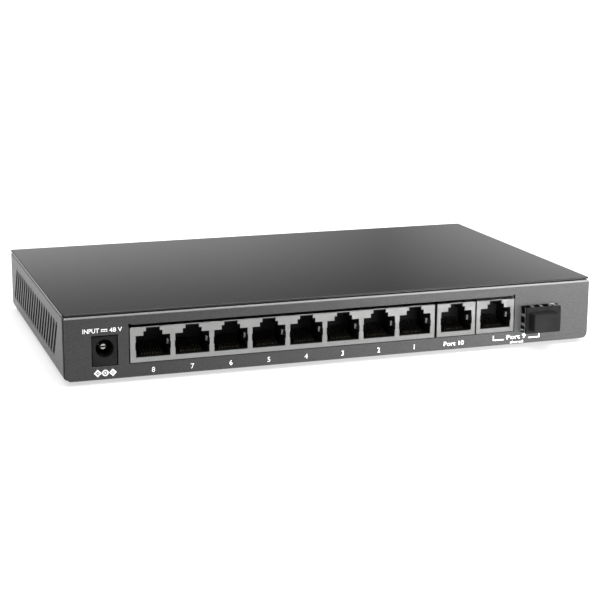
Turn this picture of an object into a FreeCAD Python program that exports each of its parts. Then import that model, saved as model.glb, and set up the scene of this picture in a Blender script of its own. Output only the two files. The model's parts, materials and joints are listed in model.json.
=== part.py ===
import FreeCAD, Part
import math
import os

# A ten-port desktop network switch in a folded steel case. Every separate piece is saved as its own
# STEP file. The shapes are built in case coordinates, in millimetres: x = 0 at the middle of the case,
# y = 0 on the face that holds the ports, growing towards the rear, and z = 0 on the case's underside.
# save() moves them into the part's own frame, whose origin is the centre of the whole footprint on the
# plane of the feet.

Vec = FreeCAD.Vector

# ---- case ----
CASE_W = 209.0
CASE_D = 126.0
CASE_H = 24.9
FOOT_H = 1.1
PLUG_REACH = 8.3
KNOB_REACH = 0.8
SHEET = 0.8
LID_SHEET = 0.6
LID_SETBACK = 0.8
WALL_TOP = CASE_H - LID_SHEET - 0.45
SIDE_TOP = CASE_H - LID_SHEET - 0.5
HALF_W = CASE_W / 2

SIDE_BEND = 2.5
BOTTOM_BEND = 0.9
TOP_BEND = 1.0
CORNER_BEND = 0.6
FLANGE = 5.0
WALL_INSET = 0.5
SIDE_START = 1.6
CORNER_SWEEP = 3.1
LAP_HALF = 101.0
FLANGE_HALF = 103.5

SLOT_COUNT = 19
SLOT_PITCH = 5.25
SLOT_R = 1.4
SLOT_TOP = (13.1, 18.5)
SLOT_BOTTOM = (21.1, 6.5)

KEYHOLE_SPACING = 120.0
KEYHOLE_Y = 63.0
KEYHOLE_MOUTH_R = 3.5
KEYHOLE_NECK = 3.6
KEYHOLE_RUN = 8.0

FOOT_R = 6.0
FEET = [(x, y) for x in (-88.0, 88.0) for y in (14.0, 108.0)]

COVER_SCREW_HOLE_R = 1.7
FRONT_TAB_Y = 8.6
FRONT_TAB_X = 99.0
REAR_TAB_Y = 122.6
REAR_TAB_X = 92.0
TAB_W = 6.0
COVER_SCREWS = [(side * FRONT_TAB_X, FRONT_TAB_Y) for side in (-1, 1)]
COVER_SCREWS += [(side * REAR_TAB_X, REAR_TAB_Y) for side in (-1, 1)]

# ---- board ----
BOARD_BOTTOM = 3.85
BOARD_TOP = 5.45
BOARD_HALF = 101.5
BOARD_FRONT = 2.1
BOARD_REAR = 118.5
TONGUE_HALF = 84.0
TONGUE_REAR = 124.0
STANDOFFS = [(-98.0, 28.0), (98.0, 28.0), (7.9, 38.0), (-98.0, 108.0), (98.0, 108.0), (0.0, 108.0)]
STUD_R = 1.95

# ---- eight-pin jacks ----
FOIL = 0.3
JACK_FACE = -0.25
JACK_BACK = 15.75
JACK_BASE = 5.7
JACK_TOP = 18.8
PORT_PITCH = 14.56
PORT_1_X = 29.76
GANG_X = (-80.6, 38.0)
SINGLE_W = 16.1
SINGLE_X = {9: 63.5, 10: 46.95}
WINDOW_HALF = 6.35
WINDOW_Z = (7.6, 15.6)
STEP_HALF = 3.525
STEP_TOP = 17.2
NOTCH_HALF = 2.55
TAB_Z = (10.7, 12.8)
LINING = 0.2
CAVITY_BACK = 11.55
LATCH_BACK = 6.5
LATCH_ROOF = 18.1
CONTACTS = 8
CONTACT_PITCH = 1.02
CONTACT_W = 0.45
CONTACT_T = 0.25

# ---- power inlet ----
INLET_X = -89.7
INLET_Z = 11.85
INLET_W = 9.0
INLET_TOP = 16.45
INLET_FACE = 0.3
INLET_BACK = 14.3
BORE_R = 3.25
BORE_BACK = 9.8
PIN_R = 1.25
PIN_TIP = 3.2
SHANK_R = 1.0

# ---- optical module bay ----
BAY_X = 82.4
CAGE_W = 14.5
CAGE_Z = (5.5, 15.2)
CAGE_MOUTH = 1.25
CAGE_BACK = 44.5
CAGE_SHEET = 0.25
COLLAR_FRONT = -2.9
PLUG_FLANGE_W = 14.8
PLUG_FLANGE_Z = (5.15, 15.45)
PLUG_FLANGE_Y = (-4.0, -3.0)
GRIP_X = (76.4, 87.65)
GRIP_Z = (6.4, 13.5)
NOSE_W = 13.4
NOSE_H = 8.4
NOSE_BACK = 12.0

# ---- cutouts in the port side: x0, x1, z0, z1 ----
INLET_CUTOUT = (-94.5, -84.9, 5.25, 16.75)
JACK_CUTOUT = (-80.95, 71.85, 5.45, 19.85)
BAY_CUTOUT = (74.8, 90.2, 4.85, 15.6)

# ---- rear side: indicators and mode switches ----
LED_COLUMNS = 10
LED_PITCH = 9.0
LED_FIRST_X = -72.0
LED_ROWS = (8.4, 12.0)
LED_WINDOW = (2.6, 1.4)
SWITCH_X = (44.0, 58.0, 72.0)
SWITCH_Z = 7.4
SWITCH_SLOT = (4.8, 2.6)
SWITCH_TRAVEL = 2.0
KNOB_W = 2.2
KNOB_H = 1.6

NEAR = 1e-4


# ---- small helpers ----
def box(x0, x1, y0, y1, z0, z1):
    return Part.makeBox(x1 - x0, y1 - y0, z1 - z0, Vec(x0, y0, z0))


def slab(centre, size, z0, z1):
    """A block centred on (x, y), of the given size across x and y."""
    (x, y), (w, d) = centre, size
    return box(x - w / 2, x + w / 2, y - d / 2, y + d / 2, z0, z1)


def post(x, y, radius, z0, z1):
    """A round post standing along z."""
    return Part.makeCylinder(radius, z1 - z0, Vec(x, y, z0))


def bar(x, z, radius, y0, y1):
    """A round bar lying along y."""
    return Part.makeCylinder(radius, y1 - y0, Vec(x, y0, z), Vec(0, 1, 0))


def prism(outline, axis, start, end):
    """A closed outline extruded along an axis: (y, z) points for x, (x, z) for y and (x, y) for z."""
    place = {"x": lambda a, b: Vec(start, a, b), "y": lambda a, b: Vec(a, start, b),
             "z": lambda a, b: Vec(a, b, start)}[axis]
    run = {"x": Vec(1, 0, 0), "y": Vec(0, 1, 0), "z": Vec(0, 0, 1)}[axis]
    points = [place(a, b) for a, b in outline]
    return Part.Face(Part.makePolygon(points + points[:1])).extrude(run * (end - start))


def strip(path, thickness):
    """The outline of a bent strip: a path, and that path set over to its left by the thickness."""
    normals = []
    for (a0, b0), (a1, b1) in zip(path, path[1:]):
        length = math.hypot(a1 - a0, b1 - b0)
        normals.append(((b0 - b1) / length, (a1 - a0) / length))
    outer = []
    for point, before, after in zip(path, normals[:1] + normals, normals + normals[-1:]):
        scale = thickness / (1 + before[0] * after[0] + before[1] * after[1])
        outer.append((point[0] + (before[0] + after[0]) * scale, point[1] + (before[1] + after[1]) * scale))
    return list(path) + outer[::-1]


def fuse(shapes):
    first, *others = shapes
    return first.multiFuse(others).removeSplitter()


def edges_at(shape, x=None, y=None, z=None):
    """The edges whose ends all lie at one of the values given for x, for y and for z."""
    wanted = [(axis, values) for axis, values in enumerate((x, y, z)) if values is not None]

    def fits(edge):
        return all(min(abs(vertex.Point[axis] - value) for value in values) < NEAR
                   for axis, values in wanted for vertex in edge.Vertexes)

    return [edge for edge in shape.Edges if fits(edge)]


def upright_edges(shape):
    """The straight edges that run along z."""
    return [edge for edge in shape.Edges
            if len(edge.Vertexes) == 2 and abs(abs(edge.tangentAt(edge.FirstParameter).z) - 1) < NEAR]


def both_sides(shape):
    """A shape and its mirror image across the middle of the case."""
    return [shape, shape.mirror(Vec(0, 0, 0), Vec(1, 0, 0))]


def both_ends(shape):
    """A shape and its mirror image across the middle of the case's depth."""
    return [shape, shape.mirror(Vec(0, CASE_D / 2, 0), Vec(0, 1, 0))]


def gull_leads(centre, depth, count, pitch, lead_w):
    """Bent leads along the two long sides of a chip or transformer that stands on the board."""
    x, y = centre
    leads = []
    for side in (-1, 1):
        edge = y + side * depth / 2
        path = [(edge - side * 0.2, BOARD_TOP + 1.1), (edge + side * 0.5, BOARD_TOP + 1.1),
                (edge + side * 0.8, BOARD_TOP), (edge + side * 1.6, BOARD_TOP)]
        for i in range(count):
            middle = x + (i - (count - 1) / 2) * pitch
            leads.append(prism(strip(path, side * 0.2), "x", middle - lead_w / 2, middle + lead_w / 2))
    return leads


# ---- case ----
def base_and_sides():
    """The base with both side walls folded up from it."""
    outer = box(-HALF_W, HALF_W, SIDE_START, CASE_D - SIDE_START, 0, SIDE_TOP)
    outer = outer.makeFillet(SIDE_BEND, edges_at(outer, x=(-HALF_W, HALF_W), z=(0,)))
    ends = (SIDE_START, CASE_D - SIDE_START)
    outer = outer.makeFillet(CORNER_BEND, edges_at(outer, x=(-HALF_W, HALF_W), y=ends))
    inner_half = HALF_W - SHEET
    inner = box(-inner_half, inner_half, 0, CASE_D, SHEET, CASE_H)
    inner = inner.makeFillet(SIDE_BEND - SHEET, edges_at(inner, x=(-inner_half, inner_half), z=(SHEET,)))
    return outer.cut(inner)


def end_wall():
    """The wall on the port side, folded up from the base, with a flange turned in under the cover."""
    half = HALF_W - WALL_INSET
    outer = box(-half, half, 0, FLANGE, 0, WALL_TOP)
    outer = outer.makeFillet(BOTTOM_BEND, edges_at(outer, y=(0,), z=(0,)))
    outer = outer.makeFillet(TOP_BEND, edges_at(outer, y=(0,), z=(WALL_TOP,)))
    inner = box(-CASE_W, CASE_W, SHEET, CASE_D, SHEET, WALL_TOP - SHEET)
    outline = box(-half, half, -1, CASE_D, 0, WALL_TOP)
    outline = outline.makeFillet(CORNER_SWEEP, edges_at(outline, x=(-half, half), z=(0,)))
    lap_relief = box(LAP_HALF, CASE_W, SHEET, CASE_D, -1, SHEET)
    flange_relief = box(FLANGE_HALF, CASE_W, SHEET, CASE_D, -1, CASE_H)
    return outer.cut(inner).common(outline).cut(both_sides(lap_relief) + both_sides(flange_relief))


def side_returns():
    """The side walls' narrow flanges, folded in behind the end walls at the four corners."""
    turn = box(FLANGE_HALF - 4, HALF_W - SHEET, SIDE_START, SIDE_START + SHEET, BOARD_TOP + 1, SIDE_TOP - 1)
    return [piece for end in both_ends(turn) for piece in both_sides(end)]


def slanted_slots():
    """Cutters for the slanted cooling slots; each one crosses both side walls."""
    (top_y, top_z), (low_y, low_z) = SLOT_TOP, SLOT_BOTTOM
    length = math.hypot(low_y - top_y, top_z - low_z)
    slant = math.degrees(math.atan2(low_y - top_y, top_z - low_z))
    slots = []
    for i in range(SLOT_COUNT):
        middle = box(-CASE_W, CASE_W, -SLOT_R, SLOT_R, 0, length)
        ends = [Part.makeCylinder(SLOT_R, 2 * CASE_W, Vec(-CASE_W, 0, z), Vec(1, 0, 0)) for z in (0, length)]
        slot = fuse([middle] + ends)
        slot.rotate(Vec(0, 0, 0), Vec(1, 0, 0), slant)
        slot.translate(Vec(0, low_y + i * SLOT_PITCH, low_z))
        slots.append(slot)
    return slots


def keyholes():
    """Two wall-mounting keyholes: a round mouth, and a neck that runs towards the ports."""
    holes = []
    for x in (-KEYHOLE_SPACING / 2, KEYHOLE_SPACING / 2):
        mouth = post(x, KEYHOLE_Y, KEYHOLE_MOUTH_R, -1, SHEET + 1)
        neck = slab((x, KEYHOLE_Y - KEYHOLE_RUN / 2), (KEYHOLE_NECK, KEYHOLE_RUN), -1, SHEET + 1)
        tip = post(x, KEYHOLE_Y - KEYHOLE_RUN, KEYHOLE_NECK / 2, -1, SHEET + 1)
        holes.append(fuse([mouth, neck, tip]))
    return holes


def port_cutouts():
    cutters = [box(x0, x1, -1, FLANGE, z0, z1) for x0, x1, z0, z1 in (INLET_CUTOUT, JACK_CUTOUT, BAY_CUTOUT)]
    relief_r = 0.5
    for corner in (JACK_CUTOUT[0] + 0.35, JACK_CUTOUT[1] - 0.35):
        cutters.append(bar(corner, JACK_CUTOUT[3], relief_r, -1, SHEET + 1))
    return cutters


def rear_cutouts():
    wide, high = LED_WINDOW
    y0, y1 = CASE_D - SHEET - 1, CASE_D + 1
    cutters = [box(x - wide / 2, x + wide / 2, y0, y1, z - high / 2, z + high / 2)
               for x in led_columns() for z in LED_ROWS]
    wide, high = SWITCH_SLOT
    for x in SWITCH_X:
        cutters.append(box(x - wide / 2, x + wide / 2, y0, y1, SWITCH_Z - high / 2, SWITCH_Z + high / 2))
    return cutters


def chassis_tray():
    walls = both_ends(end_wall())
    tray = fuse([base_and_sides()] + walls + side_returns())
    cutters = slanted_slots() + keyholes() + port_cutouts() + rear_cutouts()
    cutters += [post(x, y, COVER_SCREW_HOLE_R, -1, SHEET + 1) for x, y in COVER_SCREWS]
    cutters += [post(x, y, STUD_R + 0.05, -1, SHEET + 1) for x, y in STANDOFFS]
    return tray.cut(cutters)


def top_cover():
    """A flat lid between the end walls' bends, with eased edges and small notches at its corners."""
    corner_r = 1.2
    edge_r = 0.3
    lid = box(-HALF_W, HALF_W, LID_SETBACK, CASE_D - LID_SETBACK, CASE_H - LID_SHEET, CASE_H)
    lid = lid.makeFillet(corner_r, upright_edges(lid))
    lid = lid.makeFillet(edge_r, edges_at(lid, z=(CASE_H,)))
    relief = box(HALF_W - 3.2, HALF_W - 2.6, -1, LID_SETBACK + 0.45, 0, CASE_H - 0.4)
    return lid.cut([piece for end in both_ends(relief) for piece in both_sides(end)])


def cover_tabs():
    """Four brackets welded under the lid. Each one's foot takes a screw through the base."""
    weld_z = CASE_H - LID_SHEET
    foot_z = SHEET + 0.05
    wall = FLANGE_HALF - 0.1
    profile = [(wall - 6, foot_z), (wall - 1.6, foot_z), (wall - 0.5, foot_z + 0.5), (wall, foot_z + 1.15),
               (wall, weld_z), (wall - 6, weld_z), (wall - 6, weld_z - SHEET), (wall - SHEET, weld_z - SHEET),
               (wall - SHEET, foot_z + 1.5), (wall - 2, foot_z + SHEET), (wall - 6, foot_z + SHEET)]
    front = prism(profile, "y", FRONT_TAB_Y - TAB_W / 2, FRONT_TAB_Y + TAB_W / 2)
    face = REAR_TAB_Y - 3
    profile = [(face, foot_z), (face + 5.2, foot_z), (face + 5.2, foot_z + SHEET),
               (face + SHEET, foot_z + SHEET), (face + SHEET, weld_z), (face - 5, weld_z),
               (face - 5, weld_z - SHEET), (face, weld_z - SHEET)]
    rear = prism(profile, "x", REAR_TAB_X - TAB_W / 2, REAR_TAB_X + TAB_W / 2)
    tabs = both_sides(front) + both_sides(rear)
    holes = [post(x, y, 1.5, 0, 3) for x, y in COVER_SCREWS]
    return Part.makeCompound([tab.cut(holes) for tab in tabs])


def cross_recess(x, y, radius, z0, z1):
    """A cutter for a screw head's cross-shaped drive."""
    return fuse([slab((x, y), (2 * radius, 0.5), z0, z1), slab((x, y), (0.5, 2 * radius), z0, z1)])


def cover_screws():
    screws = []
    for x, y in COVER_SCREWS:
        head = post(x, y, 2.7, -0.9, 0)
        head = head.makeFillet(0.4, edges_at(head, z=(-0.9,)))
        screw = fuse([head, post(x, y, 1.45, 0, 3)])
        screws.append(screw.cut(cross_recess(x, y, 1.4, -1, -0.35)))
    return Part.makeCompound(screws)


def rubber_feet():
    feet = []
    for x, y in FEET:
        foot = post(x, y, FOOT_R, -FOOT_H, 0)
        feet.append(foot.makeFillet(0.35, edges_at(foot, z=(-FOOT_H,))))
    return Part.makeCompound(feet)


# ---- board and its fasteners ----
def main_pcb():
    board = box(-BOARD_HALF, BOARD_HALF, BOARD_FRONT, BOARD_REAR, BOARD_BOTTOM, BOARD_TOP)
    board = board.makeFillet(2.0, upright_edges(board))
    tongue = box(-TONGUE_HALF, TONGUE_HALF, BOARD_REAR - 1, TONGUE_REAR, BOARD_BOTTOM, BOARD_TOP)
    holes = [post(x, y, 1.6, 0, CASE_H) for x, y in STANDOFFS]
    return fuse([board, tongue]).cut(holes)


def pcb_standoffs():
    """Hexagonal posts pressed into the base, tapped for the board's screws."""
    posts = []
    radius = 2.75
    for x, y in STANDOFFS:
        corners = [(x + radius * math.cos(math.radians(60 * i)), y + radius * math.sin(math.radians(60 * i)))
                   for i in range(6)]
        body = fuse([prism(corners, "z", SHEET, BOARD_BOTTOM), post(x, y, STUD_R, 0.1, SHEET)])
        posts.append(body.cut(post(x, y, 1.25, 0.9, CASE_H)))
    return Part.makeCompound(posts)


def pcb_screws():
    screws = []
    head_top = BOARD_TOP + 1.6
    for x, y in STANDOFFS:
        head = post(x, y, 2.6, BOARD_TOP, head_top)
        head = head.makeFillet(0.6, edges_at(head, z=(head_top,)))
        screw = fuse([head, post(x, y, 1.2, 1.3, BOARD_TOP)])
        screws.append(screw.cut(cross_recess(x, y, 1.3, head_top - 0.8, head_top + 1)))
    return Part.makeCompound(screws)


# ---- eight-pin jacks ----
def gang_ports():
    """The x of ports 1 to 8, from right to left as seen from the port side."""
    return [PORT_1_X - i * PORT_PITCH for i in range(8)]


def port_window(x, margin, y0, y1, roof):
    """A cutter for the stepped opening of a jack, each side moved in by a margin."""
    low, high = WINDOW_Z
    return fuse([
        box(x - WINDOW_HALF + margin, x + WINDOW_HALF - margin, y0, y1, low + margin, high - margin),
        box(x - STEP_HALF + margin, x + STEP_HALF - margin, y0, y1, high - 1, STEP_TOP - margin),
        box(x - NOTCH_HALF + margin, x + NOTCH_HALF - margin, y0, min(y1, LATCH_BACK), high, roof)])


def ground_springs(x):
    """Two strips folded in from the window's sides, which press on a plug's shield."""
    springs = []
    rest, reach = WINDOW_HALF + 0.25, WINDOW_HALF - 0.3
    for side in (-1, 1):
        path = [(rest, JACK_FACE + 0.02), (rest, 3.3), (reach, 3.8), (reach, 4.6), (rest - 0.2, 5.2)]
        placed = [(x + side * across, y) for across, y in path]
        springs.append(prism(strip(placed, -side * 0.2), "z", *TAB_Z))
    return springs


def jack_shield(left, right, ports):
    """The folded metal shell around a jack or a row of jacks, open underneath."""
    shell = box(left, right, JACK_FACE, JACK_BACK, JACK_BASE, JACK_TOP)
    round_off = edges_at(shell, y=(JACK_FACE,), z=(JACK_TOP,))
    round_off += edges_at(shell, x=(left, right), y=(JACK_FACE,))
    round_off += edges_at(shell, x=(left, right), z=(JACK_TOP,))
    shell = shell.makeFillet(FOIL - 0.02, round_off)
    hollow = box(left + FOIL, right - FOIL, JACK_FACE + FOIL, JACK_BACK - FOIL, 0, JACK_TOP - FOIL)
    cutters = [hollow]
    for x in ports:
        cutters.append(port_window(x, 0, -1, JACK_FACE + FOIL + 0.05, JACK_TOP + 1))
        cutters.append(box(x - WINDOW_HALF - 0.2, x + WINDOW_HALF + 0.2, -1, JACK_FACE + FOIL + 0.05,
                           TAB_Z[0] - 0.25, TAB_Z[1] + 0.25))
    legs = [box(x, x + FOIL, y, y + 2, BOARD_TOP, JACK_BASE + 1)
            for x in (left, right - FOIL) for y in (3, 11)]
    springs = [spring for x in ports for spring in ground_springs(x)]
    return fuse([shell.cut(cutters)] + legs + springs)


def contact_offsets():
    return [(i - (CONTACTS - 1) / 2) * CONTACT_PITCH for i in range(CONTACTS)]


def jack_insert(x, width):
    """A jack's moulded body: the plug's cavity, the latch channel, and a comb for the contacts."""
    body = box(x - width / 2, x + width / 2, JACK_FACE + FOIL, JACK_BACK - FOIL, BOARD_TOP, JACK_TOP - FOIL)
    cutters = [port_window(x, LINING, -1, CAVITY_BACK, LATCH_ROOF)]
    spring_half = WINDOW_HALF + 0.55
    cutters += [box(x - spring_half, x + spring_half, -1, 5.8, TAB_Z[0] - 0.3, TAB_Z[1] + 0.3)]
    floor = WINDOW_Z[0] + LINING
    cutters += [box(x + dx - 0.3, x + dx + 0.3, 2.2, CAVITY_BACK, 7.1, floor + 0.1)
                for dx in contact_offsets()]
    return body.cut(cutters)


def jack_contacts(ports):
    """Sprung wires that loop up from the front of the cavity's floor and rise towards its back."""
    path = [(11.4, 7.45), (3.4, 7.45), (2.75, 7.75), (2.75, 8.1), (3.3, 8.4), (9.8, 10.6)]
    outline = strip(path, CONTACT_T)
    return Part.makeCompound([prism(outline, "x", x + dx - CONTACT_W / 2, x + dx + CONTACT_W / 2)
                              for x in ports for dx in contact_offsets()])


# ---- power inlet ----
def dc_jack_housing():
    half = INLET_W / 2
    body = box(INLET_X - half, INLET_X + half, INLET_FACE, INLET_BACK, BOARD_TOP, INLET_TOP)
    body = body.makeFillet(0.4, edges_at(body, z=(INLET_TOP,)))
    chamfer = 0.2
    mouth = Part.makeCone(BORE_R + chamfer, BORE_R, chamfer, Vec(INLET_X, INLET_FACE, INLET_Z), Vec(0, 1, 0))
    spring_slot = box(INLET_X - 1.2, INLET_X + 1.2, 3.5, 13.0, 7.4, INLET_Z)
    spring_slot = spring_slot.common(box(-CASE_W, 0, 0, BORE_BACK, 0, INLET_Z))
    cutters = [bar(INLET_X, INLET_Z, BORE_R, INLET_FACE - 1, BORE_BACK), mouth, spring_slot]
    cutters.append(bar(INLET_X, INLET_Z, SHANK_R + 0.02, 0, CASE_D))
    return body.cut(cutters)


def dc_jack_pin():
    """The centre pin: two rounded prongs, a thinner shank through the housing, and a tail to the board."""
    pin = bar(INLET_X, INLET_Z, PIN_R, PIN_TIP, BORE_BACK)
    pin = pin.makeFillet(0.4, edges_at(pin, y=(PIN_TIP,)))
    split = box(INLET_X - 2, INLET_X + 2, 0, PIN_TIP + 3, INLET_Z - 0.3, INLET_Z + 0.3)
    shank = bar(INLET_X, INLET_Z, SHANK_R, BORE_BACK, INLET_BACK + 0.6)
    tail = box(INLET_X - 0.8, INLET_X + 0.8, INLET_BACK, INLET_BACK + 0.6, BOARD_TOP, INLET_Z)
    return fuse([pin.cut(split), shank, tail])


def dc_jack_spring():
    """The strip under the bore that presses on the plug's outer sleeve."""
    path = [(9.6, 7.6), (4.0, 7.6), (3.7, 8.0), (4.4, 8.6), (6.6, 9.0), (8.6, 8.5)]
    return prism(strip(path, 0.15), "x", INLET_X - 1, INLET_X + 1)


# ---- optical module bay ----
def sfp_cage():
    """The sheet-metal cage that runs back from the port side over the board."""
    half = CAGE_W / 2
    low, high = CAGE_Z
    cage = box(BAY_X - half, BAY_X + half, CAGE_MOUTH, CAGE_BACK, low, high)
    inner_half = half - CAGE_SHEET
    hollow = box(BAY_X - inner_half, BAY_X + inner_half, CAGE_MOUTH - 1, CAGE_BACK - CAGE_SHEET,
                 low + CAGE_SHEET, high - CAGE_SHEET)
    connector_gap = box(BAY_X - 6.4, BAY_X + 6.4, 30.0, CAGE_BACK - 1, 0, low + 1)
    vents = [post(BAY_X + dx, y, 0.9, high - 1, high + 1)
             for dx in (-4.5, -1.5, 1.5, 4.5) for y in (18, 22, 26)]
    return cage.cut([hollow, connector_gap] + vents)


def sfp_emi_collar():
    """A spring collar in front of the cage: a thin ring and a band, joined by bowed fingers.

    The fingers pass through the cutout and press on its edges.
    """
    half = CAGE_W / 2
    low, high = CAGE_Z
    foil = 0.12
    rings = []
    for front, back in ((COLLAR_FRONT, COLLAR_FRONT + 0.3), (CAGE_MOUTH, CAGE_MOUTH + 0.75)):
        outer = box(BAY_X - half - foil, BAY_X + half + foil, front, back, low - foil, high + foil)
        rings.append(outer.cut(box(BAY_X - half, BAY_X + half, front - 1, back + 1, low, high)))
    fingers = []
    bow = [(COLLAR_FRONT + 0.1, 0.0), (-1.7, 0.1), (-0.3, 0.2), (0.5, 0.16), (CAGE_MOUTH + 0.1, 0.0)]
    for dx in (-3.8, 0, 3.8):
        for edge, sense in ((high, 1), (low, -1)):
            path = [(y, edge + sense * out) for y, out in bow]
            fingers.append(prism(strip(path, sense * foil), "x", BAY_X + dx - 0.6, BAY_X + dx + 0.6))
    for dz in (-1.9, 1.8):
        for sense in (-1, 1):
            path = [(BAY_X + sense * (half + out), y) for y, out in bow]
            middle = (low + high) / 2 + dz
            fingers.append(prism(strip(path, -sense * foil), "z", middle - 0.55, middle + 0.55))
    return fuse(rings + fingers)


def sfp_connector():
    """The socket at the back of the bay that a module's edge plugs into."""
    body = box(BAY_X - 5.9, BAY_X + 5.9, 33.0, 41.5, BOARD_TOP, 11.4)
    body = body.makeChamfer(0.4, edges_at(body, y=(33.0,)))
    slot = box(BAY_X - 4.9, BAY_X + 4.9, 32, 38.5, 7.8, 9.2)
    return body.cut(slot)


def sfp_connector_contacts():
    path = [(43.0, BOARD_TOP), (41.9, BOARD_TOP), (41.5, BOARD_TOP + 0.4), (41.5, 7.0)]
    outline = strip(path, -0.15)
    return Part.makeCompound([prism(outline, "x", BAY_X + dx - 0.18, BAY_X + dx + 0.18)
                              for dx in [(i - 4.5) * 0.8 for i in range(10)]])


def sfp_dust_plug():
    """A moulded stopper: a thin-walled nose inside the cage, a flange over its mouth, and a grip."""
    low, high = PLUG_FLANGE_Z
    front, back = PLUG_FLANGE_Y
    flange = box(BAY_X - PLUG_FLANGE_W / 2, BAY_X + PLUG_FLANGE_W / 2, front, back, low, high)
    corners = [edge for edge in flange.Edges if abs(abs(edge.tangentAt(0).y) - 1) < NEAR]
    flange = flange.makeFillet(0.5, corners)
    grip = box(*GRIP_X, -PLUG_REACH, front, *GRIP_Z)
    corners = [edge for edge in grip.Edges if abs(abs(edge.tangentAt(0).y) - 1) < NEAR]
    grip = grip.makeFillet(0.6, corners)
    grip = grip.makeFillet(0.3, edges_at(grip, y=(-PLUG_REACH,)))
    nose_low = (CAGE_Z[0] + CAGE_Z[1] - NOSE_H) / 2
    nose = box(BAY_X - NOSE_W / 2, BAY_X + NOSE_W / 2, back, NOSE_BACK, nose_low, nose_low + NOSE_H)
    nose = nose.makeChamfer(0.4, edges_at(nose, y=(NOSE_BACK,)))
    wall = 1.2
    hollow = box(GRIP_X[0] + wall, GRIP_X[1] - wall, -PLUG_REACH + wall, NOSE_BACK + 1,
                 nose_low + wall, GRIP_Z[1] - wall)
    return fuse([flange, grip, nose]).cut(hollow)


# ---- parts that stand on the board ----
TRANSFORMERS = [(x, 26.5) for x in (-64.9, -35.8, -6.6, 22.5, 55.2)]
CHIP = (-5.0, 66.0)


def lan_transformers():
    """One isolating transformer block for each pair of ports."""
    size = (24.0, 11.0)
    blocks = []
    for centre in TRANSFORMERS:
        body = slab(centre, size, BOARD_TOP + 0.3, BOARD_TOP + 6.0)
        body = body.makeChamfer(0.5, edges_at(body, z=(BOARD_TOP + 6.0,)))
        blocks.append(fuse([body] + gull_leads(centre, size[1], 12, 1.8, 0.6)))
    return Part.makeCompound(blocks)


def switch_chip():
    size = (20.0, 20.0)
    body = slab(CHIP, size, BOARD_TOP + 0.15, BOARD_TOP + 1.6)
    body = body.makeChamfer(0.25, edges_at(body, z=(BOARD_TOP + 1.6,)))
    return fuse([body] + gull_leads(CHIP, size[1], 24, 0.8, 0.35))


def thermal_pad():
    return slab(CHIP, (19.0, 19.0), BOARD_TOP + 1.6, BOARD_TOP + 2.1)


def heat_sink():
    """An extruded aluminium cooler: a base plate with upright fins that run from front to rear."""
    base = BOARD_TOP + 2.1
    side = 34.0
    fins = 9
    pitch = (side - 1.4) / (fins - 1)
    pieces = [slab(CHIP, (side, side), base, base + 2)]
    for i in range(fins):
        x = CHIP[0] + (i - (fins - 1) / 2) * pitch
        pieces.append(slab((x, CHIP[1]), (1.4, side), base + 2, base + 11))
    return fuse(pieces)


def flat_chips(centres, size, height):
    """Low moulded chips with chamfered tops, one at each place."""
    chips = []
    for centre in centres:
        body = slab(centre, size, BOARD_TOP, BOARD_TOP + height)
        chips.append(body.makeChamfer(0.2, edges_at(body, z=(BOARD_TOP + height,))))
    return Part.makeCompound(chips)


def power_mosfets():
    """One switching transistor behind each powered port."""
    size = (5.0, 4.0)
    parts = []
    for x in gang_ports():
        centre = (x, 45.0)
        body = slab(centre, size, BOARD_TOP + 0.1, BOARD_TOP + 1.6)
        parts.append(fuse([body] + gull_leads(centre, size[1], 4, 1.27, 0.4)))
    return Part.makeCompound(parts)


def power_inductors():
    """Shielded chokes: a square ferrite block with rounded corners and a round winding well."""
    parts = []
    for centre in ((-88.0, 62.0), (-88.0, 80.0), (-66.0, 98.0)):
        body = slab(centre, (12.5, 12.5), BOARD_TOP, BOARD_TOP + 7)
        body = body.makeFillet(2.0, upright_edges(body))
        well = post(*centre, 4.6, BOARD_TOP + 6.2, BOARD_TOP + 8)
        parts.append(body.cut(well.cut(post(*centre, 3.0, BOARD_TOP, BOARD_TOP + 8))))
    return Part.makeCompound(parts)


def bulk_capacitors():
    """Electrolytic cans with a groove near the foot and a scored vent on top."""
    parts = []
    top = BOARD_TOP + 12.5
    for x, y in ((-90.0, 44.0), (-74.0, 58.0), (-72.0, 76.0), (-48.0, 98.0)):
        can = post(x, y, 5.0, BOARD_TOP, top)
        can = can.makeFillet(0.6, edges_at(can, z=(top,)))
        groove = post(x, y, 6.0, BOARD_TOP + 1.4, BOARD_TOP + 2.0).cut(post(x, y, 4.7, 0, CASE_H))
        parts.append(can.cut([groove, cross_recess(x, y, 2.6, top - 0.25, top + 1)]))
    return Part.makeCompound(parts)


def input_choke():
    """A wound common-mode choke behind the power inlet: a base, a square core and two coils."""
    x, y = INLET_X + 1.2, 23.0
    base = slab((x, y), (12, 11), BOARD_TOP, BOARD_TOP + 1)
    core = slab((x, y), (11, 9), BOARD_TOP + 1, BOARD_TOP + 8)
    window = slab((x, y), (5, 12), BOARD_TOP + 3, BOARD_TOP + 6)
    return fuse([base, core.cut(window)])


def input_fuse():
    body = slab((-79.6, 24.0), (2.6, 6.2), BOARD_TOP, BOARD_TOP + 2.6)
    return body.makeChamfer(0.2, edges_at(body, z=(BOARD_TOP + 2.6,)))


def crystal():
    can = slab((24.0, 62.0), (10.6, 4.2), BOARD_TOP, BOARD_TOP + 3.4)
    can = can.makeFillet(2.0, upright_edges(can))
    return can.makeFillet(0.5, edges_at(can, z=(BOARD_TOP + 3.4,)))


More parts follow.
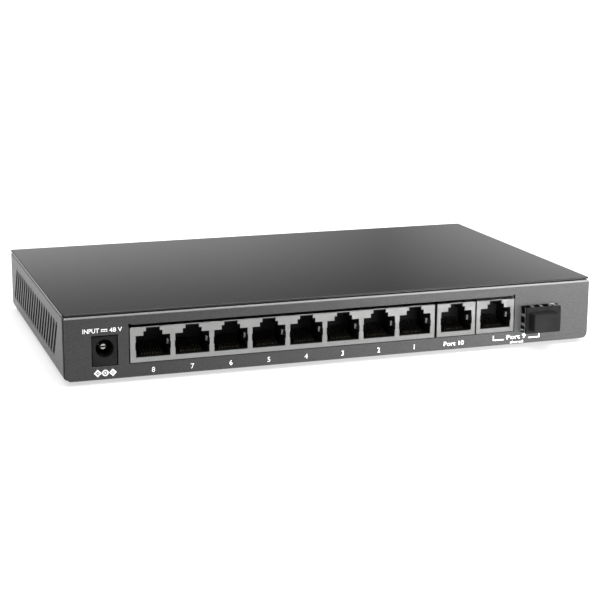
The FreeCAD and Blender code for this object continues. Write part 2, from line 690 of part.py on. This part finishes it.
def ceramic_capacitors():
    """Small chip capacitors in two rows beside the switch chip, with metal ends standing proud."""
    parts = []
    for side in (-1, 1):
        for i in range(12):
            centre = (CHIP[0] + side * 22.0, CHIP[1] + (i - 5.5) * 3.0)
            middle = slab(centre, (1.2, 0.76), BOARD_TOP, BOARD_TOP + 0.76)
            ends = [slab((centre[0] + dx, centre[1]), (0.4, 0.84), BOARD_TOP, BOARD_TOP + 0.84)
                    for dx in (-0.8, 0.8)]
            parts.append(fuse([middle] + ends))
    return Part.makeCompound(parts)


# ---- rear side ----
def led_columns():
    return [LED_FIRST_X + i * LED_PITCH for i in range(LED_COLUMNS)]


def indicator_leds():
    """A pair of chip lamps under each column of the light pipe."""
    parts = []
    for x in led_columns():
        for y in (114.4, 117.4):
            base = slab((x, y), (1.6, 0.8), BOARD_TOP, BOARD_TOP + 0.35)
            lens = slab((x, y), (1.0, 0.8), BOARD_TOP + 0.35, BOARD_TOP + 0.8)
            parts.append(fuse([base, lens]))
    return Part.makeCompound(parts)


def light_pipe():
    """A clear moulding that leads each lamp's light up and out to its window in the rear wall."""
    wide, high = LED_WINDOW[0] - 0.2, LED_WINDOW[1] - 0.2
    start = BOARD_TOP + 1.0
    pieces = []
    for x in led_columns():
        for y, z in zip((117.4, 114.4), LED_ROWS):
            low, top, end = z - high / 2, z + high / 2, CASE_D - 0.1
            profile = [(y - 0.6, start), (y + 0.6, start), (y + 0.6, low), (end, low),
                       (end, top), (y, top), (y - 0.6, top - 0.6)]
            pieces.append(prism(profile, "x", x - wide / 2, x + wide / 2))
    left, right = led_columns()[0] - 3, led_columns()[-1] + 3
    pieces.append(box(left, right, 120.4, 121.6, LED_ROWS[0] - 0.3, LED_ROWS[1] + 0.3))
    pieces += [box(x - 0.6, x + 0.6, 120.0, 122.0, BOARD_TOP, LED_ROWS[0]) for x in (left + 0.6, right - 0.6)]
    return fuse(pieces)


def mode_switch_housings():
    """Three slide-switch cans, open towards the rear where the knob's neck comes out."""
    parts = []
    wide, high = SWITCH_SLOT
    for x in SWITCH_X:
        can = box(x - 4.4, x + 4.4, 118.8, 123.8, BOARD_TOP, SWITCH_Z + 1.9)
        can = can.makeFillet(0.3, edges_at(can, z=(SWITCH_Z + 1.9,)))
        well = box(x - 3.9, x + 3.9, 119.3, 122.9, SWITCH_Z - 1.3, SWITCH_Z + 1.3)
        mouth = box(x - wide / 2, x + wide / 2, 122, 125, SWITCH_Z - high / 2, SWITCH_Z + high / 2)
        parts.append(can.cut([well, mouth]))
    return Part.makeCompound(parts)


def mode_switch_knob(x):
    """A slider inside the can, its neck through the rear wall, and three grip ribs across its end."""
    middle = x - SWITCH_TRAVEL / 2
    low, high = SWITCH_Z - KNOB_H / 2, SWITCH_Z + KNOB_H / 2
    end = CASE_D + KNOB_REACH
    slider = box(middle - 1.6, middle + 1.6, 119.7, 122.4, SWITCH_Z - 1.0, SWITCH_Z + 1.0)
    neck = box(middle - KNOB_W / 2, middle + KNOB_W / 2, 122.4, end, low, high)
    grooves = [box(middle + dx - 0.15, middle + dx + 0.15, end - 0.25, end + 1, low - 1, high + 1)
               for dx in (-0.6, 0, 0.6)]
    return fuse([slider, neck]).cut(grooves)


# ---- saving ----
def save(name, shape):
    """Moves a shape from case coordinates into the part's frame and writes it as a STEP file."""
    front_y = PLUG_REACH - (CASE_D + PLUG_REACH + KNOB_REACH) / 2
    placed = shape.copy()
    placed.translate(Vec(0, front_y, FOOT_H))
    placed.exportStep(os.path.join("parts", name + ".step"))
    print(f"{name}: {len(placed.Solids)} solids, {placed.Volume:.1f} mm3, valid {placed.isValid()}")


def save_jacks():
    ports = gang_ports()
    save("jack_shield_8port", jack_shield(*GANG_X, ports))
    save("jack_contacts_8port", jack_contacts(ports))
    for number, x in enumerate(ports, 1):
        save(f"jack_insert_{number}", jack_insert(x, PORT_PITCH - 0.06))
    for number, x in SINGLE_X.items():
        save(f"jack_shield_{number}", jack_shield(x - SINGLE_W / 2, x + SINGLE_W / 2, [x]))
        save(f"jack_insert_{number}", jack_insert(x, SINGLE_W - 2 * FOIL - 0.1))
        save(f"jack_contacts_{number}", jack_contacts([x]))


def main():
    os.makedirs("parts", exist_ok=True)
    for build in (chassis_tray, top_cover, cover_tabs, cover_screws, rubber_feet, main_pcb, pcb_standoffs,
                  pcb_screws, dc_jack_housing, dc_jack_pin, dc_jack_spring, sfp_cage, sfp_emi_collar,
                  sfp_connector, sfp_connector_contacts, sfp_dust_plug, lan_transformers, switch_chip,
                  thermal_pad, heat_sink, power_mosfets, power_inductors, bulk_capacitors, input_choke,
                  input_fuse, crystal, ceramic_capacitors, indicator_leds, light_pipe,
                  mode_switch_housings):
        save(build.__name__, build())
    save("phy_chips", flat_chips(((-36.0, 56.0), (40.0, 56.0)), (9.0, 9.0), 0.9))
    save("poe_controllers", flat_chips(((-56.0, 62.0), (-56.0, 78.0)), (8.0, 8.0), 0.9))
    save("regulator_chips", flat_chips(((-80.0, 98.0), (-32.0, 94.0), (30.0, 84.0)), (5.0, 4.0), 1.5))
    save_jacks()
    for number, x in enumerate(SWITCH_X, 1):
        save(f"mode_switch_knob_{number}", mode_switch_knob(x))


if __name__ == "__main__":
    main()
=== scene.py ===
import json
import math

import bmesh
import bpy
from mathutils import Euler, Matrix, Vector


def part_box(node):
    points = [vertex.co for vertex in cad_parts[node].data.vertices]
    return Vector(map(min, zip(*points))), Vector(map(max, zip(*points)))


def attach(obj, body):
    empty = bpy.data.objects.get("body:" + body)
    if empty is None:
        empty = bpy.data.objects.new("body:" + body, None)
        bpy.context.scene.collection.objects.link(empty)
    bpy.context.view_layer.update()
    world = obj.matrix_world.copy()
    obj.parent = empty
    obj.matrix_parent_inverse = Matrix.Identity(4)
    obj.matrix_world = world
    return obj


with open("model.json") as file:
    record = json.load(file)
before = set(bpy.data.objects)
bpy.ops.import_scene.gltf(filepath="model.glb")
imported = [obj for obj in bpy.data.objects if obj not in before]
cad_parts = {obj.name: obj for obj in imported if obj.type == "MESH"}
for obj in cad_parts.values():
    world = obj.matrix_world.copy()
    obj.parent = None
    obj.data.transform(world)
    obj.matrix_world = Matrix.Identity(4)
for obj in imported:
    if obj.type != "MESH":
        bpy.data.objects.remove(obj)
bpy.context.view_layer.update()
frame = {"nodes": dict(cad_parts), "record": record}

# The looks of a desktop network switch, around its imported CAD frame. Lengths in this file are in
# millimetres in case coordinates unless a name says otherwise: x = 0 at the middle of the case, y = 0 on
# the port side, growing towards the rear, and z = 0 on the case's underside. at() turns them into metres
# in the row's frame.

MM = 0.001
CASE_LOW, CASE_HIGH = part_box("chassis_tray")
CASE_DEPTH = (CASE_HIGH.y - CASE_LOW.y) / MM
INK = 0.02

# The sockets of a Mix node that take and give colours.
MIX_FIRST = 6
MIX_SECOND = 7
MIX_RESULT = 2

# Each metal's slot, its tone and its roughness.
METALS = [
    ("zinc_steel", (0.60, 0.60, 0.59), 0.42),
    ("screw_steel", (0.58, 0.58, 0.57), 0.3),
    ("inlet_pin", (0.42, 0.41, 0.39), 0.26),
    ("cage_nickel", (0.78, 0.77, 0.75), 0.3),
    ("jack_nickel", (0.30, 0.30, 0.297), 0.36),
    # The contacts' tone is far darker than gold: painted shade for the inside of the jacks.
    ("contact_gold", (0.11, 0.098, 0.074), 0.5),
    ("capacitor_can", (0.68, 0.69, 0.71), 0.34),
    ("sink_aluminium", (0.10, 0.10, 0.11), 0.42),
]

# Each moulding's slot, its darkest and lightest grey, and its roughness.
MOULDINGS = [
    ("foot_rubber", 0.010, 0.018, 0.75),
    ("inlet_plastic", 0.008, 0.014, 0.6),
    # The inserts' black is partly the plastic's own colour and partly painted shade for the inside of the
    # jacks.
    ("insert_plastic", 0.004, 0.007, 0.6),
    ("plug_rubber", 0.005, 0.009, 0.62),
    ("chip_plastic", 0.014, 0.022, 0.55),
    ("thermal_pad", 0.36, 0.44, 0.7),
    ("ferrite", 0.03, 0.045, 0.6),
    ("ceramic_body", 0.50, 0.62, 0.5),
    ("lamp_resin", 0.72, 0.84, 0.25),
    ("knob_plastic", 0.62, 0.74, 0.45),
]
DULL_ROUGHNESS = 0.58

# How far each material's edges are eased.
EDGES = {"case_paint": 0.10, "cover_paint": 0.10, "jack_nickel": 0.05, "cage_nickel": 0.04,
         "contact_gold": 0.04, "inlet_pin": 0.05, "insert_plastic": 0.10, "plug_rubber": 0.22,
         "inlet_plastic": 0.15, "foot_rubber": 0.20, "clear_plastic": 0.10, "knob_plastic": 0.15}
PLAIN_EDGE = 0.08

# Where the print goes on the port side and on the rear wall.
PORT_1_X = 29.76
PORT_PITCH = 14.56
INLET_CAPTION_Z = 18.6
LAMP_COLUMNS = 10
LAMP_10_X = -72.0
LAMP_PITCH = 9.0
MODE_SWITCH_X = (44.0, 58.0, 72.0)
MODE_SWITCH_Z = 7.4


def at(x, y, z):
    """A point in case coordinates, as metres in the row's frame."""
    return Vector((x * MM, CASE_LOW.y + y * MM, CASE_LOW.z + z * MM))


# ---- materials ----
class Finish:
    """A procedural material: a Principled shader, with inputs that are set or linked by name."""

    def __init__(self, name, **inputs):
        self.material = bpy.data.materials.new(name)
        self.material.use_nodes = True
        self.tree = self.material.node_tree
        self.shader = self.tree.nodes["Principled BSDF"]
        for key, value in inputs.items():
            self.shader.inputs[key.replace("_", " ")].default_value = value
        self.place = self.node("ShaderNodeTexCoord").outputs["Object"]
        self.normal = None

    def node(self, kind, **settings):
        node = self.tree.nodes.new(kind)
        for key, value in settings.items():
            setattr(node, key, value)
        return node

    def link(self, output, node_input):
        self.tree.links.new(output, node_input)

    def scaled(self, size, stretch):
        """Object coordinates in units of a grain of the given size in millimetres."""
        mapping = self.node("ShaderNodeMapping")
        mapping.inputs["Scale"].default_value = [1 / (size * along * MM) for along in stretch]
        self.link(self.place, mapping.inputs["Vector"])
        return mapping.outputs["Vector"]

    def noise(self, size, detail=2.0, stretch=(1, 1, 1), roughness=0.5):
        noise = self.node("ShaderNodeTexNoise")
        noise.inputs["Scale"].default_value = 1.0
        noise.inputs["Detail"].default_value = detail
        noise.inputs["Roughness"].default_value = roughness
        self.link(self.scaled(size, stretch), noise.inputs["Vector"])
        return noise.outputs[0]

    def cells(self, size, stretch=(1, 1, 1), feature="F1"):
        cells = self.node("ShaderNodeTexVoronoi", feature=feature)
        cells.inputs["Scale"].default_value = 1.0
        self.link(self.scaled(size, stretch), cells.inputs["Vector"])
        return cells.outputs["Distance"]

    def ramp(self, value, *stops):
        """A ramp through (position, colour or grey level) stops."""
        ramp = self.node("ShaderNodeValToRGB")
        elements = ramp.color_ramp.elements
        while len(elements) < len(stops):
            elements.new(0.5)
        for element, (position, colour) in zip(elements, stops):
            element.position = position
            element.color = (*colour, 1) if isinstance(colour, tuple) else (colour, colour, colour, 1)
        self.link(value, ramp.inputs["Fac"])
        return ramp.outputs["Color"]

    def blend(self, factor, first, second, mode="MIX"):
        mix = self.node("ShaderNodeMix", data_type="RGBA", blend_type=mode)
        for value, index in ((factor, 0), (first, MIX_FIRST), (second, MIX_SECOND)):
            socket = mix.inputs[index]
            if isinstance(value, bpy.types.NodeSocket):
                self.link(value, socket)
            else:
                socket.default_value = value
        return mix.outputs[MIX_RESULT]

    def drive(self, name, value):
        self.link(value, self.shader.inputs[name])

    def bump(self, height, distance, strength=1.0):
        """Adds relief of about the given height in millimetres."""
        bump = self.node("ShaderNodeBump")
        bump.inputs["Strength"].default_value = strength
        bump.inputs["Distance"].default_value = distance * MM
        self.link(height, bump.inputs["Height"])
        if self.normal is not None:
            self.link(self.normal, bump.inputs["Normal"])
        self.normal = bump.outputs["Normal"]
        self.link(self.normal, self.shader.inputs["Normal"])


def case_paint():
    """Fine sand-textured grey paint.

    Its colour is lighter where it faces up: a painted highlight for the bright line along the bends.
    """
    paint = Finish("case_paint", Specular_IOR_Level=0.1, Coat_Weight=0.2, Coat_Roughness=0.2)
    grain = paint.noise(0.34, 3)
    flakes = paint.cells(0.42)
    speckle = paint.ramp(grain, (0.3, (0.023, 0.023, 0.0234)), (0.7, (0.053, 0.053, 0.054)))
    glints = paint.ramp(flakes, (0.0, (0.12, 0.12, 0.122)), (0.28, (0.032, 0.032, 0.0326)))
    # Painted highlight: where the surface faces up, the colour blends towards a lighter grey, so the bends
    # look lit.
    facing = paint.node("ShaderNodeSeparateXYZ")
    paint.link(paint.node("ShaderNodeTexCoord").outputs["Normal"], facing.inputs[0])
    painted_bend_highlight = paint.ramp(facing.outputs["Z"], (0.25, 0.0), (0.6, 1.0))
    paint.drive("Base Color", paint.blend(painted_bend_highlight, paint.blend(0.4, speckle, glints), (0.15, 0.15, 0.152, 1)))
    paint.drive("Roughness", paint.ramp(paint.noise(0.6), (0.3, 0.38), (0.7, 0.52)))
    paint.bump(grain, 0.035, 0.55)
    paint.bump(paint.noise(6.0, 1), 0.03, 0.3)
    return paint.material


def cover_paint():
    """Smooth semi-gloss dark paint with a very fine orange peel."""
    paint = Finish("cover_paint", Specular_IOR_Level=0.3)
    grain = paint.noise(0.3, 3)
    dark, light = (0.008, 0.008, 0.0083), (0.014, 0.014, 0.0145)
    paint.drive("Base Color", paint.ramp(grain, (0.3, dark), (0.7, light)))
    paint.drive("Roughness", paint.ramp(paint.noise(0.9, 3), (0.3, 0.11), (0.7, 0.15)))
    paint.bump(grain, 0.005, 0.4)
    paint.bump(paint.noise(3.0, 1), 0.008, 0.25)
    return paint.material


def plated_sheet(name, tone, rough):
    """Rolled and plated sheet metal, with faint streaks along the rolling direction."""
    metal = Finish(name, Metallic=1.0)
    streaks = metal.noise(0.12, 3, (14, 14, 1))
    patches = metal.noise(4.0, 2)
    low = tuple(0.86 * c for c in tone)
    metal.drive("Base Color", metal.ramp(streaks, (0.25, low), (0.75, tone)))
    metal.drive("Roughness", metal.ramp(patches, (0.3, rough - 0.05), (0.7, rough + 0.07)))
    metal.bump(streaks, 0.003, 0.4)
    return metal.material


def moulded(name, dark, light, rough, grain_size=0.25, relief=0.01, **inputs):
    """Moulded plastic or rubber with a fine eroded grain and slight tone changes."""
    plastic = Finish(name, **inputs)
    grain = plastic.noise(grain_size, 3)
    tone = plastic.blend(0.5, grain, plastic.noise(5.0, 2))
    plastic.drive("Base Color", plastic.ramp(tone, (0.35, dark), (0.65, light)))
    patches = plastic.noise(1.2, 3)
    plastic.drive("Roughness", plastic.ramp(patches, (0.3, rough - 0.06), (0.7, rough + 0.06)))
    plastic.bump(grain, relief, 0.5)
    return plastic.material


def board_laminate():
    """Green solder resist over copper tracks, with a faint weave grain in the resist."""
    board = Finish("board_laminate", Specular_IOR_Level=0.5, Coat_Weight=0.5, Coat_Roughness=0.15)
    bricks = board.node("ShaderNodeTexBrick", offset=0.37, squash=0.6, squash_frequency=3)
    bricks.inputs["Scale"].default_value = 1.0
    bricks.inputs["Mortar Size"].default_value = 0.16
    bricks.inputs["Mortar Smooth"].default_value = 0.2
    board.link(board.scaled(2.4, (1, 1, 1)), bricks.inputs["Vector"])
    tracks = bricks.outputs["Fac"]
    weave = board.noise(0.5, 2)
    resist = board.ramp(weave, (0.3, (0.002, 0.018, 0.009)), (0.7, (0.004, 0.028, 0.014)))
    board.drive("Base Color", board.blend(tracks, resist, (0.009, 0.060, 0.028, 1)))
    board.drive("Roughness", board.ramp(weave, (0.3, 0.28), (0.7, 0.36)))
    board.bump(tracks, 0.035, 0.8)
    return board.material


def clear_moulding():
    """Slightly cloudy clear plastic."""
    clear = Finish("clear_moulding", Transmission_Weight=0.85, IOR=1.49)
    haze = clear.noise(1.5, 2)
    clear.drive("Base Color", clear.ramp(haze, (0.3, (0.80, 0.83, 0.84)), (0.7, (0.92, 0.94, 0.94))))
    clear.drive("Roughness", clear.ramp(haze, (0.3, 0.12), (0.7, 0.24)))
    clear.bump(haze, 0.01, 0.4)
    return clear.material


def print_ink():
    """Pad-printed off-white ink, a little uneven where it meets the paint's texture."""
    ink = Finish("print_ink")
    grain = ink.noise(0.3, 2)
    ink.drive("Base Color", ink.ramp(grain, (0.3, (0.74, 0.74, 0.74)), (0.7, (0.90, 0.90, 0.90))))
    ink.drive("Roughness", ink.ramp(grain, (0.3, 0.5), (0.7, 0.62)))
    ink.bump(grain, 0.01, 0.5)
    return ink.material


def materials():
    """One material for each of the record's slots, and one for the print."""
    made = {"case_paint": case_paint(), "cover_paint": cover_paint(), "board_laminate": board_laminate(),
            "clear_plastic": clear_moulding(), "print_ink": print_ink()}
    for name, tone, rough in METALS:
        made[name] = plated_sheet(name, tone, rough)
    for name, dark, light, rough in MOULDINGS:
        gloss = 0.12 if rough >= DULL_ROUGHNESS else 0.4
        made[name] = moulded(name, dark, light, rough, Specular_IOR_Level=gloss)
    return made


# ---- CAD nodes ----
def ease_edges(piece, width):
    """Welds a CAD node's faces together and rounds its sharp edges, with modifiers only."""
    weld = piece.modifiers.new("weld", "WELD")
    weld.merge_threshold = 0.0005 * MM
    bevel = piece.modifiers.new("bevel", "BEVEL")
    bevel.width = width * MM
    bevel.segments = 2
    bevel.limit_method = "ANGLE"
    bevel.angle_limit = math.radians(35)
    bevel.use_clamp_overlap = True
    bevel.miter_outer = "MITER_ARC"
    normals = piece.modifiers.new("normals", "WEIGHTED_NORMAL")
    normals.keep_sharp = False
    normals.weight = 50


def finish_cad_nodes(made):
    slots = {part["node"]: part["material_slot"] for part in frame["record"]["subparts"]}
    for name, node in frame["nodes"].items():
        node.data.shade_smooth()
        node.material_slots[0].material = made[slots[name]]
        ease_edges(node, EDGES.get(slots[name], PLAIN_EDGE))


# ---- print ----
def as_piece(name, mesh, made, body="case"):
    """A piece of print, in ink, that goes with the case."""
    piece = bpy.data.objects.new(name, mesh)
    bpy.context.scene.collection.objects.link(piece)
    piece.data.materials.append(made["print_ink"])
    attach(piece, body)
    return piece


def lettering(name, text, x, z, height, made, width=None, rear=False, weight=0.0):
    """Printed characters, centred on (x, z) on the port side or the rear wall.

    A width stretches or squeezes them, and a weight thickens their strokes.
    """
    thickness = 0.02
    curve = bpy.data.curves.new(name, "FONT")
    curve.body = text
    curve.align_x = "CENTER"
    curve.extrude = thickness / 2
    curve.offset = weight
    curve.resolution_u = 4
    source = bpy.data.objects.new(name, curve)
    mesh = bpy.data.meshes.new_from_object(source)
    bpy.data.objects.remove(source)
    xs = [v.co.x for v in mesh.vertices]
    ys = [v.co.y for v in mesh.vertices]
    middle = Vector(((min(xs) + max(xs)) / 2, (min(ys) + max(ys)) / 2, 0))
    tall = height / (max(ys) - min(ys))
    wide = width / (max(xs) - min(xs)) if width else tall
    deep = INK / thickness
    turn = Euler((math.pi / 2, 0, math.pi if rear else 0)).to_matrix().to_4x4()
    y = CASE_DEPTH + INK / 2 if rear else -INK / 2
    size = Matrix.Diagonal((wide * MM, tall * MM, deep * MM, 1))
    mesh.transform(Matrix.Translation(at(x, y, z)) @ turn @ size @ Matrix.Translation(-middle))
    mesh.name = name
    return as_piece(name, mesh, made)


def ink_shape(name, shapes, made, rear=False):
    """Printed outlines, each a list of (outer, inner) loops of (x, z) points; inner may be None."""
    bm = bmesh.new()
    y0, y1 = (CASE_DEPTH, CASE_DEPTH + INK) if rear else (-INK, 0)
    for outer, inner in shapes:
        rings = []
        for y in (y0, y1):
            rings.append([[bm.verts.new(at(x, y, z)) for x, z in loop] for loop in (outer, inner) if loop])
        count = len(outer)
        for i in range(count):
            j = (i + 1) % count
            (front_out, *front_in), (back_out, *back_in) = rings
            bm.faces.new((front_out[i], front_out[j], back_out[j], back_out[i]))
            if front_in:
                bm.faces.new((front_in[0][j], front_in[0][i], back_in[0][i], back_in[0][j]))
                bm.faces.new((front_out[j], front_out[i], front_in[0][i], front_in[0][j]))
                bm.faces.new((back_out[i], back_out[j], back_in[0][j], back_in[0][i]))
        if not inner:
            bm.faces.new(rings[0][0][::-1])
            bm.faces.new(rings[1][0])
    bmesh.ops.recalc_face_normals(bm, faces=bm.faces)
    mesh = bpy.data.meshes.new(name)
    bm.to_mesh(mesh)
    bm.free()
    return as_piece(name, mesh, made)


def loop(x, z, radius, sides):
    """A regular outline around (x, z), with its first corner at the right."""
    turns = [math.tau * i / sides for i in range(sides)]
    return [(x + radius * math.cos(turn), z + radius * math.sin(turn)) for turn in turns]


def bar(x0, x1, z0, z1):
    return [(x0, z0), (x1, z0), (x1, z1), (x0, z1)]


def polarity_mark(made):
    """The usual sign for a centre-positive barrel inlet: minus, plug and plus, joined by a line."""
    minus_x, plug_x, plus_x = -92.5, -89.75, -87.0
    z = 2.9
    size, hole = 1.42, 0.72
    ring_r, ring_hole, dot_r = 1.2, 0.7, 0.36
    sign, stroke, line = 0.4, 0.12, 0.2
    size_lap, ring_lap = 0.15, 0.1
    shapes = [(loop(x, z, size, 4), loop(x, z, hole, 4)) for x in (minus_x, plus_x)]
    shapes.append((loop(plug_x, z, ring_r, 32), loop(plug_x, z, ring_hole, 32)))
    shapes.append((loop(plug_x, z, dot_r, 20), None))
    shapes += [(bar(x - sign, x + sign, z - stroke, z + stroke), None) for x in (minus_x, plus_x)]
    shapes += [(bar(plus_x - stroke, plus_x + stroke, z + stroke, z + sign), None),
               (bar(plus_x - stroke, plus_x + stroke, z - sign, z - stroke), None)]
    shapes += [(bar(minus_x + size - size_lap, plug_x - ring_r + ring_lap, z - line, z + line), None),
               (bar(plug_x + ring_r - ring_lap, plus_x - size + size_lap, z - line, z + line), None)]
    return ink_shape("polarity_mark", shapes, made)


def direct_current_sign(made):
    """A full line over three dashes."""
    x, z = -89.8, INLET_CAPTION_Z
    half, dash_half, pitch = 1.15, 0.29, 0.86
    line_low, line_high = 0.12, 0.48
    dash_low, dash_high = -0.5, -0.14
    shapes = [(bar(x - half, x + half, z + line_low, z + line_high), None)]
    shapes += [(bar(x + dx - dash_half, x + dx + dash_half, z + dash_low, z + dash_high), None)
               for dx in (-pitch, 0, pitch)]
    return ink_shape("direct_current_sign", shapes, made)


def shared_port_bracket(made):
    """Two corner lines that tie the last jack and the module bay to one caption."""
    left, left_end, right_end, right = 63.07, 67.6, 78.1, 82.8
    low, high = 2.4, 4.3
    line = 0.35
    half = line / 2
    shapes = [(bar(left - half, left + half, low, high), None),
              (bar(left + half, left_end, low, low + line), None),
              (bar(right_end, right - half, low, low + line), None),
              (bar(right - half, right + half, low, high), None)]
    return ink_shape("shared_port_bracket", shapes, made)


def port_side_print(made):
    digit_z, digit_h = 2.7, 1.9
    for number in range(1, 9):
        x = PORT_1_X - (number - 1) * PORT_PITCH
        lettering(f"port_number_{number}", str(number), x, digit_z, digit_h, made)
    lettering("port_caption_10", "Port 10", 46.3, 2.8, 1.75, made, width=8.4)
    lettering("port_caption_9", "Port 9", 72.85, 3.4, 1.7, made, width=8.0)
    lettering("shared_caption", "shared", 73.1, 1.35, 1.0, made, width=5.6)
    tall, weight = 1.65, 0.012
    lettering("inlet_caption_left", "INPUT", -94.6, INLET_CAPTION_Z, tall, made, width=5.9, weight=weight)
    lettering("inlet_caption_right", "48 V", -85.6, INLET_CAPTION_Z, tall, made, width=4.6, weight=weight)
    direct_current_sign(made)
    polarity_mark(made)
    shared_port_bracket(made)


def rear_print(made):
    """A number under each column of lamps, and a number, a ring and a dot around each mode switch."""
    digit_h, lamp_digit_z, mode_digit_z = 1.7, 5.6, 11.6
    stop_gap, stop_r, stop_hole = 3.4, 0.5, 0.22
    for column in range(LAMP_COLUMNS):
        number = LAMP_COLUMNS - column
        x = LAMP_10_X + LAMP_PITCH * column
        lettering(f"lamp_number_{number}", str(number), x, lamp_digit_z, digit_h, made, rear=True)
    for number, x in enumerate(MODE_SWITCH_X, 1):
        lettering(f"mode_number_{number}", str(number), x, mode_digit_z, digit_h, made, rear=True)
        ring_x, dot_x = x - stop_gap, x + stop_gap
        ring = (loop(ring_x, MODE_SWITCH_Z, stop_r, 24), loop(ring_x, MODE_SWITCH_Z, stop_hole, 24))
        dot = (loop(dot_x, MODE_SWITCH_Z, stop_r, 24), None)
        ink_shape(f"mode_stops_{number}", [ring, dot], made, rear=True)


# ---- stage ----
def area_light(name, place, aim, width, height, power, shines=False):
    light = bpy.data.lights.new(name, "AREA")
    light.shape = "RECTANGLE"
    light.size, light.size_y = width, height
    light.energy = power
    lamp = bpy.data.objects.new(name, light)
    lamp.location = place
    lamp.rotation_euler = (Vector(aim) - Vector(place)).to_track_quat("-Z", "Y").to_euler()
    lamp.visible_camera = False
    lamp.visible_glossy = shines
    bpy.context.scene.collection.objects.link(lamp)
    return lamp


def studio_sky():
    """White to the camera; a dark band above white in reflections; brightest overhead as soft light."""
    world = bpy.data.worlds.new("studio")
    bpy.context.scene.world = world
    world.use_nodes = True
    tree = world.node_tree
    direction = tree.nodes.new("ShaderNodeSeparateXYZ")
    tree.links.new(tree.nodes.new("ShaderNodeTexCoord").outputs["Generated"], direction.inputs[0])

    def graded(axis, *stops):
        ramp = tree.nodes.new("ShaderNodeValToRGB")
        elements = ramp.color_ramp.elements
        while len(elements) < len(stops):
            elements.new(0.5)
        for element, (position, grey) in zip(elements, stops):
            element.position = position
            element.color = (grey, grey, grey, 1)
        tree.links.new(direction.outputs[axis], ramp.inputs["Fac"])
        return ramp.outputs["Color"]

    def sky(colour, strength):
        background = tree.nodes.new("ShaderNodeBackground")
        background.inputs["Strength"].default_value = strength
        if colour:
            tree.links.new(colour, background.inputs["Color"])
        else:
            background.inputs["Color"].default_value = (1, 1, 1, 1)
        return background.outputs[0]

    def either(switch, first, second):
        mix = tree.nodes.new("ShaderNodeMixShader")
        tree.links.new(switch, mix.inputs[0])
        tree.links.new(first, mix.inputs[1])
        tree.links.new(second, mix.inputs[2])
        return mix.outputs[0]

    across = graded("X", (0.0, 0.20), (0.11, 0.82), (0.28, 0.55), (0.37, 0.30), (0.43, 0.60), (0.49, 1.0))
    band = graded("Z", (0.0, 1.0), (0.18, 0.88), (0.224, 0.08), (0.45, 0.08), (0.8, 0.5), (1.0, 0.9))
    glow = tree.nodes.new("ShaderNodeMix")
    glow.data_type, glow.blend_type = "RGBA", "MULTIPLY"
    glow.inputs[0].default_value = 1.0
    tree.links.new(band, glow.inputs[MIX_FIRST])
    tree.links.new(across, glow.inputs[MIX_SECOND])
    mirrored = sky(glow.outputs[MIX_RESULT], 1.65)
    soft = sky(graded("Z", (0.0, 0.08), (0.35, 0.18), (0.8, 1.0)), 1.75)
    path = tree.nodes.new("ShaderNodeLightPath")
    lit = either(path.outputs["Is Glossy Ray"], soft, mirrored)
    seen = either(path.outputs["Is Camera Ray"], lit, sky(None, 1.0))
    tree.links.new(seen, tree.nodes["World Output"].inputs["Surface"])


def stage():
    """A faintly glowing white floor, and soft boxes overhead, left, behind and low at the right front."""
    bpy.ops.mesh.primitive_grid_add(x_subdivisions=4, y_subdivisions=4, size=24)
    floor = bpy.context.object
    floor.name = "floor"
    ground = Finish("floor_white", Roughness=0.9, Specular_IOR_Level=0.1, Emission_Color=(1, 1, 1, 1),
                    Emission_Strength=0.6)
    ground.drive("Base Color", ground.ramp(ground.noise(40.0, 2), (0.3, 0.34), (0.7, 0.36)))
    floor.data.materials.append(ground.material)
    studio_sky()
    area_light("overhead_box", (0.0, 0.0, 1.2), (0, 0, 0), 1.2, 0.9, 4.5, shines=True)
    area_light("overhead_strip", (0.38, 0.0, 1.15), (0.38, 0.0, 0), 1.0, 0.4, 16, shines=True)
    area_light("left_box", (-0.9, 0.25, 0.35), (-0.1, 0.02, 0), 0.6, 0.5, 0.25)
    area_light("rear_box", (0.1, 0.9, 0.45), (0, 0.06, 0.01), 1.0, 0.4, 5)
    area_light("right_front_box", (0.115, -0.19, 0.012), (0.11, -0.06, 0.0), 0.15, 0.014, 0.92)


def camera():
    lens = bpy.data.cameras.new("camera")
    lens.sensor_width = 36.0
    lens.lens = 91.0
    lens.clip_start = 0.05
    lens.clip_end = 50.0
    view = bpy.data.objects.new("camera", lens)
    bpy.context.scene.collection.objects.link(view)
    place = at(-191.9, -516.2, 152.2)
    forward = Vector((0.3134, 0.9218, -0.2282)).normalized()
    roll = Matrix.Rotation(math.radians(0.23), 3, "Z")
    view.matrix_world = (Matrix.Translation(place)
                         @ (forward.to_track_quat("-Z", "Y").to_matrix() @ roll).to_4x4())
    bpy.context.scene.camera = view


def main():
    camera()
    made = materials()
    finish_cad_nodes(made)
    port_side_print(made)
    rear_print(made)
    stage()
    bpy.context.scene.view_settings.view_transform = "Standard"


main()
